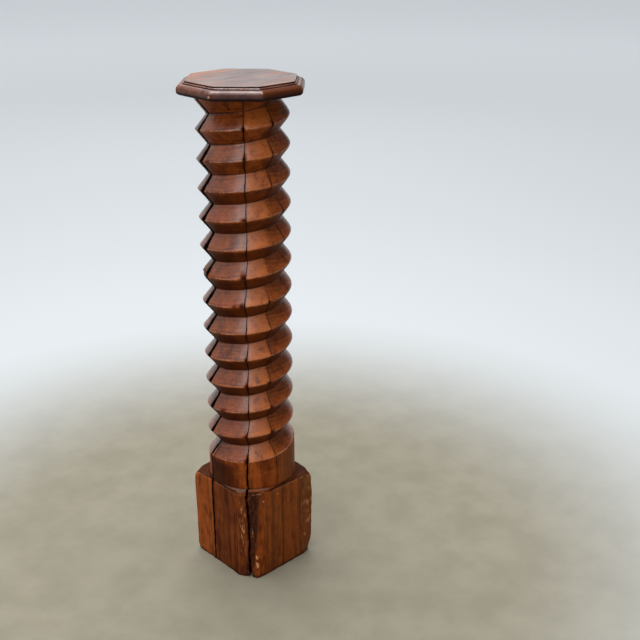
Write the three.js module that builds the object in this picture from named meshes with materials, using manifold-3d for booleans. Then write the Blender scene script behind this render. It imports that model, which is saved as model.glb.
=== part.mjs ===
// A pedestal made of an old wooden wine press screw: one timber with a square hewn head below, a plain
// collar and a coarse right-handed V thread above, and a moulded octagonal board resting on its end.
// Millimetres, +Z up. The origin is the centre of the underside, on the screw's axis.
// The head's hewn faces look along -X (left), -Y (front), +X (right) and +Y (back).
import * as THREE from 'three';
import { mergeVertices } from 'three/addons/utils/BufferGeometryUtils.js';
import Module from 'manifold-3d';

const wasm = await Module();
wasm.setup();

// Whole object.
const totalHeight = 1120;
const seatGap = 0.3;

// Thread. Azimuths are in degrees from +X, counter-clockwise seen from above.
const crestRadius = 97.5;
const threadDepth = 24.2;
const threadPitch = 61.5;
const crestLand = 1.6;
const threadStartAzimuth = -39.3;
const threadStartHeight = 311.8;
const fullDepthAzimuth = -219.3;
const runOutAngle = 150;
const runOutCurve = 1.5;
const stationsPerTurn = 40;

// Square head. Each face stands at its own distance from the axis, as the axe left it.
const headHeight = 218;
const headLeft = 94;
const headFront = 97;
const headRight = 99;
const headBack = 101;
const headTaper = 1.5;
const arrisEase = 4;

// The front corner of the head is wane, the timber's own rounded edge, uneven from foot to top.
const waneOnLeftFace = 37;
const waneOnFrontFaceTop = 54;
const waneOnFrontFaceFoot = 24;
const waneRoughness = 2.2;
const wanePoints = 5;
const waneWavesUp = 5;
const waneWavesAcross = 7;
const hewnLevels = 6;

// The shoulder where the round collar rises from the head: a small sloping foot, then a fall to the corners.
const shoulderFootRise = 9;
const shoulderFootWidth = 6.5;
const shoulderFlatWidth = 18;
const shoulderFlatDrop = 2;
const shoulderFallWidth = 12;
const shoulderFallDrop = 10;
const collarFlatRun = 70;

// Moulded octagonal board. The apothem is from the axis to a flat side of the top face.
const boardSides = 8;
const boardThickness = 28;
const boardTopApothem = 109.4;
const boardFilletHeight = 4.4;
const boardLedgeWidth = 3.6;
const boardQuirk = 1.2;
const ovoloWidth = 12.6;
const ovoloHeight = 9.8;
const boardEdgeBand = 4;
const underRoundWidth = 10.6;
const roundSteps = 4;

// Shrinkage cracks. Width is at the thread's crests; the crack closes inwards at its depth.
const cracks = [
  { azimuthTop: 161, azimuthFoot: 160.7, width: 4.6, depth: 52, sway: 0.9, phase: 0.4 },
  { azimuthTop: 231, azimuthFoot: 225, width: 3, depth: 42, sway: 1.6, phase: 2.1 },
  { azimuthTop: 266, azimuthFoot: 275, width: 1.8, depth: 34, sway: 1.2, phase: 4.0 },
];
const crackStationSpacing = 42;
const crackSwayLength = 330;
const crackSecondSway = { share: 0.5, rate: 2.7 };
const crackSwell = { share: 0.25, rate: 1.9, phase: 1 };

// Bites broken out of the crests: a wide blunted stretch on the left and nicks where cracks cross a crest.
// Turn 0 is the lowest crest. Length is along the crest, height across it.
const crestBites = [
  { azimuth: 143, turn: 7, length: 58, height: 20, depth: 4.6 },
  { azimuth: 230, turn: 12, length: 9, height: 13, depth: 6 },
  { azimuth: 229, turn: 7, length: 11, height: 15, depth: 7 },
  { azimuth: 227, turn: 0, length: 9, height: 14, depth: 6 },
  { azimuth: 266, turn: 3, length: 9, height: 10, depth: 5 },
  { azimuth: 267, turn: 0, length: 8, height: 10, depth: 4 },
];

const screwTop = totalHeight - boardThickness - seatGap;
const overrun = 6;
const landKeptByOverrun = 0.4;
const fullTurn = 360;

function onCircle(radius, azimuth, height) {
  const angle = THREE.MathUtils.degToRad(azimuth);
  return new THREE.Vector3(radius * Math.cos(angle), radius * Math.sin(angle), height);
}

// A closed body through rings of equal point counts, each ring counter-clockwise seen from the far end.
function loft(rings) {
  const count = rings[0].length;
  const points = rings.flat();
  const triangles = [];
  for (let level = 0; level + 1 < rings.length; level += 1) {
    for (let i = 0; i < count; i += 1) {
      const next = (i + 1) % count;
      const low = level * count;
      const high = low + count;
      triangles.push(low + i, low + next, high + next, low + i, high + next, high + i);
    }
  }
  const lastRing = (rings.length - 1) * count;
  for (const [start, facesBack] of [[0, true], [lastRing, false]]) {
    const centre = new THREE.Vector3();
    for (let i = 0; i < count; i += 1) centre.addScaledVector(points[start + i], 1 / count);
    const centreIndex = points.push(centre) - 1;
    for (let i = 0; i < count; i += 1) {
      const here = start + i;
      const next = start + (i + 1) % count;
      triangles.push(centreIndex, facesBack ? next : here, facesBack ? here : next);
    }
  }
  const geometry = new THREE.BufferGeometry().setFromPoints(points);
  geometry.setIndex(triangles);
  return geometry;
}

// A body turned about the Z axis from a profile of radius and height pairs that starts and ends on the axis.
function turned(profile, segments, startAngle = 0) {
  const points = profile.map(([radius, height]) => new THREE.Vector2(radius, height));
  const geometry = new THREE.LatheGeometry(points, segments, startAngle);
  geometry.rotateX(Math.PI / 2);
  return geometry;
}

function toSolid(geometry) {
  const bare = geometry.clone();
  bare.deleteAttribute('normal');
  bare.deleteAttribute('uv');
  const merged = mergeVertices(bare);
  const triVerts = [];
  for (let i = 0; i < merged.index.count; i += 3) {
    const [a, b, c] = [merged.index.getX(i), merged.index.getX(i + 1), merged.index.getX(i + 2)];
    if (a !== b && b !== c && c !== a) triVerts.push(a, b, c);
  }
  const vertProperties = new Float32Array(merged.attributes.position.array);
  const mesh = new wasm.Mesh({ numProp: 3, vertProperties, triVerts: new Uint32Array(triVerts) });
  return new wasm.Manifold(mesh);
}

function toGeometry(solid) {
  const mesh = solid.getMesh();
  const geometry = new THREE.BufferGeometry();
  geometry.setAttribute('position', new THREE.BufferAttribute(mesh.vertProperties, mesh.numProp));
  geometry.setIndex(new THREE.BufferAttribute(mesh.triVerts, 1));
  return geometry;
}

// Height of the crest line at an azimuth that keeps counting over the turns.
function crestHeight(azimuth) {
  return threadStartHeight + threadPitch * (azimuth - threadStartAzimuth) / fullTurn;
}

// The turned shape: shoulder, collar and the round blank of the thread.
function turnedBlank() {
  const footRadius = crestRadius + shoulderFootWidth;
  const fallRadius = footRadius + shoulderFlatWidth;
  const cornerRadius = Math.hypot(Math.max(headLeft, headRight), Math.max(headFront, headBack));
  const outerRadius = Math.max(cornerRadius, fallRadius) + overrun;
  const outerDrop = shoulderFlatDrop + shoulderFallDrop * (outerRadius - fallRadius) / shoulderFallWidth;
  return turned([
    [0, -overrun],
    [outerRadius, -overrun],
    [outerRadius, headHeight - outerDrop],
    [fallRadius, headHeight - shoulderFlatDrop],
    [footRadius, headHeight],
    [crestRadius, headHeight + shoulderFootRise],
    [crestRadius, screwTop],
    [0, screwTop],
  ], stationsPerTurn);
}

// One outline of the hewn timber. Spread moves its faces out, share runs from 0 at the foot to 1 at the top.
function hewnOutline(height, share, spread) {
  const left = -(headLeft + spread);
  const front = -(headFront + spread);
  const right = headRight + spread;
  const back = headBack + spread;
  const waneOnFront = THREE.MathUtils.lerp(waneOnFrontFaceFoot, waneOnFrontFaceTop, share);
  const waneStart = new THREE.Vector2(left, front + waneOnLeftFace);
  const waneEnd = new THREE.Vector2(left + waneOnFront, front);
  const outward = new THREE.Vector2(waneEnd.y - waneStart.y, waneStart.x - waneEnd.x).normalize();
  const corners = [];
  for (let i = 0; i < wanePoints; i += 1) {
    const across = i / (wanePoints - 1);
    const swell = Math.sin(Math.PI * across) * waneRoughness;
    const unevenness = 1 + Math.sin(waneWavesUp * share + waneWavesAcross * across);
    corners.push(waneStart.clone().lerp(waneEnd, across).addScaledVector(outward, swell * unevenness));
  }
  corners.push(
    new THREE.Vector2(right - arrisEase, front),
    new THREE.Vector2(right, front + arrisEase),
    new THREE.Vector2(right, back - arrisEase),
    new THREE.Vector2(right - arrisEase, back),
    new THREE.Vector2(left + arrisEase, back),
    new THREE.Vector2(left, back - arrisEase),
  );
  return corners.map((point) => new THREE.Vector3(point.x, point.y, height));
}

// The hewn timber: the head's faces, which go on upwards and out so that they fade away on the collar.
function hewnBlank() {
  const rings = [];
  for (let level = 0; level <= hewnLevels; level += 1) {
    const share = level / hewnLevels;
    rings.push(hewnOutline(headHeight * share, share, -headTaper * (1 - share)));
  }
  const flareRun = totalHeight - headHeight;
  const flare = (crestRadius - headLeft) * flareRun / collarFlatRun;
  rings.push(hewnOutline(totalHeight, 1, Math.max(flare, crestRadius - headLeft) + overrun));
  return loft(rings);
}

// The V groove as a cutter wound round the blank. At its lower end it rises out of the wood over the run-out.
function grooveCutter() {
  const step = fullTurn / stationsPerTurn;
  const halfMouth = (threadPitch - crestLand) / 2;
  const halfOuter = (threadPitch - landKeptByOverrun * crestLand) / 2;
  const rootRadius = crestRadius - threadDepth;
  const flankReach = threadDepth * halfOuter / halfMouth;
  const lift = threadDepth + overrun;
  const firstStation = Math.floor((fullDepthAzimuth - runOutAngle) / step);
  const turnsToTop = (totalHeight + threadPitch - threadStartHeight) / threadPitch;
  const lastStation = Math.ceil((threadStartAzimuth + fullTurn * turnsToTop) / step);
  const rings = [];
  for (let station = firstStation; station <= lastStation; station += 1) {
    const azimuth = station * step;
    const faded = THREE.MathUtils.clamp((fullDepthAzimuth - azimuth) / runOutAngle, 0, 1);
    const inner = rootRadius + lift * faded ** runOutCurve;
    const outer = inner + flankReach + overrun;
    const middle = crestHeight(azimuth) + threadPitch / 2;
    rings.push([
      onCircle(inner, azimuth, middle),
      onCircle(inner + flankReach, azimuth, middle + halfOuter),
      onCircle(outer, azimuth, middle + halfOuter),
      onCircle(outer, azimuth, middle - halfOuter),
      onCircle(inner + flankReach, azimuth, middle - halfOuter),
    ]);
  }
  return loft(rings);
}

// A crack as a thin wedge that stands radially in the wood and sways a little from foot to top.
function crackCutter(crack) {
  const inner = crestRadius - crack.depth;
  const outer = crestRadius + Math.hypot(headLeft, headFront);
  const steps = Math.ceil(totalHeight / crackStationSpacing);
  const rings = [];
  for (let i = 0; i <= steps; i += 1) {
    const share = i / steps;
    const height = THREE.MathUtils.lerp(-overrun, totalHeight + overrun, share);
    const wave = height * 2 * Math.PI / crackSwayLength + crack.phase;
    const sway = Math.sin(wave) + crackSecondSway.share * Math.sin(crackSecondSway.rate * wave);
    const line = THREE.MathUtils.lerp(crack.azimuthFoot, crack.azimuthTop, share);
    const azimuth = line + crack.sway * sway;
    const swell = crackSwell.share * Math.sin(crackSwell.rate * wave + crackSwell.phase);
    const width = crack.width * (1 + swell);
    const halfAngle = THREE.MathUtils.radToDeg(width / 2 * (outer - inner) / crack.depth / outer);
    rings.push([
      onCircle(inner, azimuth, height),
      onCircle(outer, azimuth - halfAngle, height),
      onCircle(outer, azimuth + halfAngle, height),
    ]);
  }
  return loft(rings);
}

// A bite out of a crest: a coarse lump set half into the crest line, cut away from the wood.
function biteCutter(bite) {
  const unwrapped = bite.azimuth - fullTurn + fullTurn * bite.turn;
  const lump = new THREE.IcosahedronGeometry(1, 0);
  lump.scale(bite.depth, bite.length / 2, bite.height / 2);
  lump.rotateZ(THREE.MathUtils.degToRad(bite.azimuth));
  const place = onCircle(crestRadius, bite.azimuth, crestHeight(unwrapped));
  lump.translate(place.x, place.y, place.z);
  return lump;
}

function makeScrew() {
  let wood = toSolid(turnedBlank()).intersect(toSolid(hewnBlank()));
  wood = wood.subtract(toSolid(grooveCutter()));
  for (const crack of cracks) wood = wood.subtract(toSolid(crackCutter(crack)));
  for (const bite of crestBites) wood = wood.subtract(toSolid(biteCutter(bite)));
  return toGeometry(wood);
}

// Points of a quarter round from its outer, upright end to its inner, level end.
function quarterRound(innerAcross, width, startHeight, rise) {
  const points = [];
  for (let i = 0; i <= roundSteps; i += 1) {
    const angle = (Math.PI / 2) * i / roundSteps;
    points.push([innerAcross + width * Math.cos(angle), startHeight + rise * Math.sin(angle)]);
  }
  return points;
}

// The board's edge from below: a rounded lower arris, a plain band, an ovolo, a quirk, a ledge and a small
// upright fillet under the flat top.
function makeBoard() {
  const toCorner = 1 / Math.cos(Math.PI / boardSides);
  const underside = totalHeight - boardThickness;
  const ledge = totalHeight - boardFilletHeight;
  const ovoloInner = boardTopApothem + boardLedgeWidth;
  const widest = ovoloInner + ovoloWidth;
  const bandTop = ledge - boardQuirk - ovoloHeight;
  const bandFoot = bandTop - boardEdgeBand;
  const edge = [
    ...quarterRound(widest - underRoundWidth, underRoundWidth, bandFoot, underside - bandFoot).reverse(),
    ...quarterRound(ovoloInner, ovoloWidth, bandTop, ovoloHeight),
    [ovoloInner, ledge],
    [boardTopApothem, ledge],
    [boardTopApothem, totalHeight],
  ];
  const corners = edge.map(([apothem, height]) => [apothem * toCorner, height]);
  return turned([[0, underside], ...corners, [0, totalHeight]], boardSides, Math.PI / boardSides);
}

const screwWood = new THREE.MeshStandardMaterial({ color: 0x6b2f16, roughness: 0.38, metalness: 0 });
const boardWood = new THREE.MeshStandardMaterial({ color: 0x7d5548, roughness: 0.34, metalness: 0 });

const screw = new THREE.Mesh(makeScrew(), screwWood);
screw.name = 'screw';

const octagonalTop = new THREE.Mesh(makeBoard(), boardWood);
octagonalTop.name = 'octagonal_top';

const pedestal = new THREE.Group();
pedestal.add(screw, octagonalTop);

export default pedestal;
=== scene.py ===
# %% [markdown]
# # A pedestal made from an old wine press screw
# The real object is one heavy timber with a board on top. The timber's foot was left square, its upper part
# was turned round and cut with a coarse V thread, and later a moulded octagonal board made it a stand.
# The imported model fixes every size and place. This script keeps that model as its frame and builds the two
# pieces again with finer surfaces, then gives them their wood.

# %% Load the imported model
import math

import bmesh
import bpy
import numpy as np
from mathutils import Matrix, Vector, noise


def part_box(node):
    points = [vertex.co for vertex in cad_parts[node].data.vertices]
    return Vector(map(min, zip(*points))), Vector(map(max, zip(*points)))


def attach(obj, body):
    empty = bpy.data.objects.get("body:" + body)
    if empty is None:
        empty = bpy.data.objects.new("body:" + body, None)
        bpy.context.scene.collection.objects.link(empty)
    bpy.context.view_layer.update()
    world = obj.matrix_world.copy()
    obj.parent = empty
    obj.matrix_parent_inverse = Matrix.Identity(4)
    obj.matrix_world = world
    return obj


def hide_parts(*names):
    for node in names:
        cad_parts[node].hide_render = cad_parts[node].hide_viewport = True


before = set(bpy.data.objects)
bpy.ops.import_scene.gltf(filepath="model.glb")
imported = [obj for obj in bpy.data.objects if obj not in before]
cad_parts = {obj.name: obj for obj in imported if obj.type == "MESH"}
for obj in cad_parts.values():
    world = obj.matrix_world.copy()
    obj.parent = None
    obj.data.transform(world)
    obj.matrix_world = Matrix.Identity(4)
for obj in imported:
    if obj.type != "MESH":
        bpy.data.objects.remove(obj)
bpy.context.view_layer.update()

screw_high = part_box("screw")[1]
board_low, board_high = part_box("octagonal_top")

# %% [markdown]
# ## Sizes of the timber
# A maker would set the work out in millimetres, so the values below are millimetres too, and one factor
# turns them into Blender's metres. Azimuths are degrees round the screw's axis, seen from above, from +X.
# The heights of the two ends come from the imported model, so the fine timber can't drift away from it.

# %% Sizes of the timber
MM = 0.001
FULL_TURN = 360.0

seat_height = screw_high.z / MM
crest_radius = 97.8
thread_depth = 24.5
thread_pitch = 61.5
thread_start_azimuth = -39.3
thread_start_height = 311.8
full_depth_azimuth = -219.3
run_out_angle = 150.0
run_out_curve = 1.5

head_height = 218.0
head_faces = {"left": (180.0, 94.0), "front": (270.0, 97.0), "right": (0.0, 99.0), "back": (90.0, 101.0)}
head_taper = 1.5
collar_flat_run = 70.0
wane_on_left_face = 37.0
wane_on_front_top = 54.0
wane_on_front_foot = 24.0

shoulder_foot_rise = 9.0
shoulder_foot_width = 6.5
shoulder_flat_width = 18.0
shoulder_flat_drop = 2.0
shoulder_fall_slope = 10.0 / 12.0
print("timber", round(seat_height, 1), "mm high,", round(2 * crest_radius, 1), "mm over the crests")

# %% [markdown]
# ## The camera
# The photo looks down a little from standing height, straight at the waney corner of the head. The camera
# is set by the place of its eye, its heading and its downward tilt, which is how a photographer would
# describe it. With its lens the pedestal fills about four fifths of the picture's height.

# %% The camera
eye = Vector((-1.3191, -1.6136, 1.4562))
heading = math.radians(43.57)
downward_tilt = math.radians(22.48)
focal_length_mm = 57.85
sensor_width_mm = 36.0

camera_data = bpy.data.cameras.new("camera")
camera_data.lens = focal_length_mm
camera_data.sensor_width = sensor_width_mm
camera = bpy.data.objects.new("camera", camera_data)
bpy.context.scene.collection.objects.link(camera)
camera.location = eye
camera.rotation_euler = (math.pi / 2 - downward_tilt, 0.0, -heading)
bpy.context.scene.camera = camera
print("camera at", [round(v, 3) for v in eye])

# %% [markdown]
# ## Helpers for the grid
# The screw is first made as a plain tube whose rows already follow the helix, because rows that run along
# the crests give clean, crisp edges. One pitch of a straight tube wall is a short upright chain of points.
# Spun once round the axis while it climbs by one pitch, it becomes one turn of a helical band.

# %% One turn of the helical band
COLUMN_STEP = 2.0
ROW_SHARES = [0.0, 0.014, 0.04, 0.09, 0.16, 0.24, 0.32, 0.39, 0.445, 0.48]
BAND_START_AZIMUTH = -220.0 - 2 * FULL_TURN


def crest_height(azimuth):
    """Height in mm of the crest line at an azimuth that keeps counting over the turns."""
    return thread_start_height + thread_pitch * (azimuth - thread_start_azimuth) / FULL_TURN


def on_circle(radius, azimuth, height):
    angle = math.radians(azimuth)
    return Vector((radius * math.cos(angle), radius * math.sin(angle), height)) * MM


shares = ROW_SHARES + [0.5] + [1.0 - share for share in reversed(ROW_SHARES)]
columns = round(FULL_TURN / COLUMN_STEP)
timber = bmesh.new()
start_height = crest_height(BAND_START_AZIMUTH)
chain = [
    timber.verts.new(on_circle(crest_radius, BAND_START_AZIMUTH, start_height + share * thread_pitch))
    for share in shares
]
chain_edges = [timber.edges.new(pair) for pair in zip(chain, chain[1:])]
bmesh.ops.spin(
    timber,
    geom=chain + chain_edges,
    axis=(0, 0, 1),
    cent=(0, 0, 0),
    dvec=(0, 0, thread_pitch * MM / columns),
    angle=math.radians(FULL_TURN),
    steps=columns,
    use_duplicate=False,
)
print("one turn:", len(timber.faces), "faces")

# %% [markdown]
# ## The whole tube
# The turn is copied upwards until it passes the top, the turns are merged where they meet, and the tube is
# sawn off square: at the seat of the board above, and on the collar below, where the rows become level.

# %% Stack the turns and saw the tube off
COLLAR_SAW_HEIGHT = 262.0
MERGE_DISTANCE = 0.1
SAW_TOLERANCE = 0.01
LEVEL_TOLERANCE = 0.05

turns = math.ceil((seat_height - start_height) / thread_pitch) + 2
first_turn = timber.verts[:] + timber.edges[:] + timber.faces[:]
for turn in range(1, turns):
    copy = bmesh.ops.duplicate(timber, geom=first_turn)["geom"]
    copied_points = [item for item in copy if isinstance(item, bmesh.types.BMVert)]
    bmesh.ops.translate(timber, verts=copied_points, vec=(0, 0, turn * thread_pitch * MM))
bmesh.ops.remove_doubles(timber, verts=timber.verts[:], dist=MERGE_DISTANCE * MM)


def saw_level(mesh, height, keep_above):
    """Cuts the mesh level at a height in mm and removes one side."""
    bmesh.ops.bisect_plane(
        mesh,
        geom=mesh.verts[:] + mesh.edges[:] + mesh.faces[:],
        dist=SAW_TOLERANCE * MM,
        plane_co=(0, 0, height * MM),
        plane_no=(0, 0, 1),
        clear_inner=keep_above,
        clear_outer=not keep_above,
    )


def level_rim(mesh, height):
    """The open edges that lie at a height in mm."""
    def at_level(vertex):
        return abs(vertex.co.z - height * MM) < LEVEL_TOLERANCE * MM

    return [edge for edge in mesh.edges if edge.is_boundary and all(at_level(v) for v in edge.verts)]


saw_level(timber, seat_height, keep_above=False)
saw_level(timber, COLLAR_SAW_HEIGHT, keep_above=True)
lower_rim = level_rim(timber, COLLAR_SAW_HEIGHT)
print("tube:", len(timber.faces), "faces,", len(lower_rim), "edges on the lower rim")

# %% [markdown]
# ## Rows for collar, shoulder, head and foot
# Below the saw cut the timber has no thread, so level rows do. The lower rim is extruded downwards row by
# row, as one long straight tube. Each row has a mark on this tube: a row of the shoulder later moves
# outwards instead of down, like a sock rolled over, and the last rows fold in under the foot. Two rows
# above the seat fold in over the top in the same way.

# %% Extrude the lower rows
COLLAR_FOOT_MARK = head_height + shoulder_foot_rise
SHOULDER_LENGTH = 36.0
FACE_TOP_MARK = COLLAR_FOOT_MARK - SHOULDER_LENGTH
FACE_LENGTH = head_height
FOOT_MARK = FACE_TOP_MARK - FACE_LENGTH
COLLAR_ROWS, SHOULDER_ROWS, FACE_ROWS = 8, 12, 56
TOP_ARRIS, FOOT_ARRIS = 1.2, 1.0
END_RADII = [34.0, 14.0]
END_ROW = 10.0

collar_marks = np.linspace(COLLAR_SAW_HEIGHT, COLLAR_FOOT_MARK, COLLAR_ROWS + 1)[1:]
shoulder_marks = np.linspace(COLLAR_FOOT_MARK, FACE_TOP_MARK, SHOULDER_ROWS + 1)[1:]
face_marks = np.linspace(FACE_TOP_MARK, FOOT_MARK, FACE_ROWS + 1)[1:-1]
arris_marks = [FACE_TOP_MARK - TOP_ARRIS, FOOT_MARK + FOOT_ARRIS]
end_rows = [END_ROW * i for i in range(1, len(END_RADII) + 1)]
underside_marks = [FOOT_MARK - row for row in end_rows]
marks = [*collar_marks, *shoulder_marks, *face_marks, *arris_marks, FOOT_MARK, *underside_marks]


def extrude_rim(mesh, rim, height):
    """Extrudes open edges to a level in mm and returns the new open edges."""
    made = bmesh.ops.extrude_edge_only(mesh, edges=rim)["geom"]
    for item in made:
        if isinstance(item, bmesh.types.BMVert):
            item.co.z = height * MM
    return [item for item in made if isinstance(item, bmesh.types.BMEdge) and item.is_boundary]


rim = lower_rim
for row_mark in sorted(marks, reverse=True):
    rim = extrude_rim(timber, rim, row_mark)
rim = level_rim(timber, seat_height)
for row in end_rows:
    rim = extrude_rim(timber, rim, seat_height + row)
print("timber grid:", len(timber.verts), "points")

# %% [markdown]
# ## A finer grid where the wood is torn or knotty
# The wane at the front corner and the right end of the front face are rough wood, with furrows only a few
# millimetres apart, and a small dark knot shows right under the board. Dividing the whole timber that finely
# would waste faces on its smooth parts, so only the patches that need it are divided.

# %% Divide the rough patches
def divide_patch(mesh, azimuths, marks_between, cuts):
    """Divides the edges whose ends both lie in a range of azimuths and of marks."""
    def inside(vertex):
        azimuth = math.degrees(math.atan2(vertex.co.y, vertex.co.x)) % FULL_TURN
        return azimuths[0] < azimuth < azimuths[1] and marks_between[0] < vertex.co.z / MM < marks_between[1]

    edges = [edge for edge in mesh.edges if inside(edge.verts[0]) and inside(edge.verts[1])]
    bmesh.ops.subdivide_edges(mesh, edges=edges, cuts=cuts, use_grid_fill=True)


face_marks_between = (FOOT_MARK - 0.5, FACE_TOP_MARK + 8.0)
divide_patch(timber, (207.0, 251.0), face_marks_between, cuts=2)
divide_patch(timber, (297.0, 323.0), face_marks_between, cuts=1)
divide_patch(timber, (197.0, 223.0), (1052.0, 1094.0), cuts=3)
print("after dividing:", len(timber.faces), "faces")

# %% [markdown]
# ## Cracks
# As the log dried, it shrank more round its rings than across them, and split along its length. Each crack
# is a wedge that reaches far in, so cutting it with a thin tool would leave ragged edges. Instead the grid
# itself opens: three neighbouring columns become one lip, the crack's bottom and the other lip. All columns
# between two cracks close up or spread evenly to make room. A path lists a crack's height, azimuth and width,
# and the left crack's path is written from one crest to the next, because it steps aside at each of them.

# %% The cracks and how they wander
GRID_LIP = COLUMN_STEP
GRID_MARGIN = 2 * COLUMN_STEP
CLOSED_WIDTH = 0.2
LIP_MARGIN = 1.2
LEAST_GAP = 0.1

STEPS_AT_A_CREST = [(-27.0, -2.3, 0.9), (-5.0, -2.0, 1.0), (0.0, 0.0, 1.0), (24.0, -0.9, 0.92)]
LEFT_AT_CRESTS = [
    (165.3, 10.0), (167.6, 12.0), (165.9, 10.5), (165.8, 12.0), (164.5, 13.0), (165.8, 14.0),
    (166.8, 12.0), (168.8, 15.0), (167.0, 14.0), (168.7, 14.5), (168.7, 14.0), (166.0, 10.0),
]
LEFT_BELOW_COLLAR = [
    (0, 160.7, 5.0), (120, 160.9, 5.6), (216, 161.0, 5.4), (228, 164.0, 5.5), (262, 162.6, 5.8),
    (282, 161.0, 7.2), (300, 160.6, 7.4),
]


def path_over_crests(lower_part, at_crests):
    """A crack's path that steps aside under each crest; at_crests lists azimuth and width from turn 1 up."""
    path = list(lower_part)
    for turn, (azimuth_there, width) in enumerate(at_crests, start=1):
        crest = crest_height(azimuth_there - FULL_TURN + FULL_TURN * turn)
        path += [(crest + up, azimuth_there + aside, share * width) for up, aside, share in STEPS_AT_A_CREST]
    return [*path, (seat_height, path[-1][1], path[-1][2])]


cracks = {
    "left": {"column": 162.0, "depth": 52.0, "slant": 0.0, "sway": 0.25,
             "path": path_over_crests(LEFT_BELOW_COLLAR, LEFT_AT_CRESTS)},
    "hairline": {"column": 174.0, "depth": 12.0, "slant": -1.0, "sway": 0.1, "path": [
        (0, 174.0, 0), (255, 174.0, 0), (272, 169.2, 0.8), (290, 168.6, 1.5), (318, 169.0, 1.2),
        (330, 172.0, 0), (380, 174.0, 0), (1092, 174.0, 0)]},
    "middle": {"column": 228.0, "depth": 42.0, "slant": 1.4, "sway": 0.25, "path": [
        (0, 225.0, 5.6), (44, 223.6, 5.0), (98, 224.0, 3.4), (160, 223.2, 4.2), (214, 221.6, 5.6),
        (227, 223.4, 4.0), (262, 223.2, 4.2), (285, 223.8, 4.0), (296, 224.2, 4.6), (325, 224.2, 2.0),
        (357, 224.2, 2.8), (385, 226.2, 1.7), (419, 226.8, 2.6), (450, 227.0, 1.6), (480, 227.0, 3.0),
        (510, 227.4, 1.7), (542, 227.2, 2.6), (575, 227.6, 1.6), (603, 227.0, 2.6), (635, 227.2, 1.6),
        (665, 226.2, 2.4), (700, 228.2, 1.4), (726, 228.4, 2.3), (757, 230.2, 1.3), (788, 230.4, 2.2),
        (820, 230.9, 1.3), (850, 230.9, 2.2), (880, 231.0, 1.5), (911, 230.8, 2.4), (972, 230.8, 2.6),
        (1000, 231.2, 1.4), (1034, 230.9, 3.0), (1050, 230.8, 1.2), (1092, 231.0, 1.3)]},
    "right": {"column": 262.0, "depth": 34.0, "slant": 0.6, "sway": 0.2, "path": [
        (0, 265.0, 0), (222, 265.0, 0), (230, 264.6, 0.8), (262, 264.8, 1.0), (301, 263.6, 1.3),
        (363, 258.6, 1.3), (424, 258.4, 1.3), (486, 257.6, 1.1), (547, 260.2, 1.3), (609, 260.6, 1.2),
        (670, 259.0, 1.2), (700, 258.4, 0.4), (732, 257.8, 0.5), (793, 259.8, 0.3), (855, 262.8, 0.3),
        (885, 263.6, 0.6), (901, 264.0, 0.9), (916, 264.8, 2.3), (932, 265.5, 1.6), (947, 266.2, 0.9),
        (962, 267.2, 1.1), (978, 268.2, 2.4), (994, 268.4, 1.7), (1009, 268.6, 0.9), (1024, 268.9, 1.1),
        (1039, 269.2, 2.5), (1060, 269.2, 1.4), (1092, 269.2, 1.1)]},
    "head": {"column": 276.0, "depth": 20.0, "slant": 0.0, "sway": 0.12, "path": [
        (0, 273.9, 1.2), (110, 273.7, 1.3), (216, 273.9, 1.3), (222, 274.0, 0.5), (228, 275.0, 0),
        (1092, 276.0, 0)]},
    "far_right": {"column": 290.0, "depth": 16.0, "slant": 0.0, "sway": 0.2, "path": [
        (0, 290.0, 0), (640, 295.0, 0), (670, 296.0, 1.3), (736, 296.5, 1.3), (765, 292.0, 0.4),
        (798, 286.0, 1.9), (859, 285.2, 2.1), (885, 285.6, 0.5), (900, 286.0, 0), (1092, 290.0, 0)]},
}
SWAY_LENGTH = 47.0


def smooth_step(low, high, value):
    """0 on low's side, 1 on high's side, smooth between them; it falls where low is the larger."""
    share = np.clip((value - low) / (high - low), 0.0, 1.0)
    return share * share * (3.0 - 2.0 * share)


def band(rise_start, rise_end, fall_start, fall_end, value):
    """1 between two soft edges and 0 outside them."""
    return smooth_step(rise_start, rise_end, value) * (1.0 - smooth_step(fall_start, fall_end, value))


def bump(distance, width):
    """1 at distance 0, falling off like a bell; at the width it is down to about a third."""
    return np.exp(-((distance / width) ** 2))


def turned_from(centre, azimuths):
    """Degrees from a centre to each azimuth, the shorter way round."""
    return (azimuths - centre + FULL_TURN / 2) % FULL_TURN - FULL_TURN / 2


def strongest(*masks):
    """The largest of several masks at every point."""
    return np.maximum.reduce(masks)


def crack_line(crack, height, slant_share=0.0):
    """Azimuth of a crack at a height in mm; a crack that isn't radial leans aside towards the roots."""
    heights, azimuths, _ = zip(*crack["path"])
    wave = height * 2.0 * math.pi / SWAY_LENGTH + crack["column"]
    sway = np.sin(wave) + 0.6 * np.sin(2.7 * wave) + 0.3 * np.sin(6.1 * wave)
    return np.interp(height, heights, azimuths) + crack["sway"] * sway + crack["slant"] * slant_share


def crack_width(crack, height):
    heights, _, widths = zip(*crack["path"])
    wave = height * 2.0 * math.pi / (0.6 * SWAY_LENGTH) + 2.0 * crack["column"]
    swell = 1.0 + 0.14 * np.sin(wave) + 0.10 * np.sin(2.3 * wave)
    return np.maximum(np.interp(height, heights, widths) * swell, CLOSED_WIDTH)


def crack_opening(crack, height):
    """From 0, closed, to 1, open, at a height in mm."""
    return smooth_step(0.25, 0.8, crack_width(crack, height))


for name, crack in cracks.items():
    print(name, "crack: column", crack["column"], "and", crack["depth"], "mm deep")

# %% [markdown]
# ## Where each grid point goes
# One short cell per form keeps the shape readable: the V of the thread, the hewn outline of the head and
# the shoulder. Each works on arrays that hold a value for every point, which is quick and needs no loops.

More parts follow.
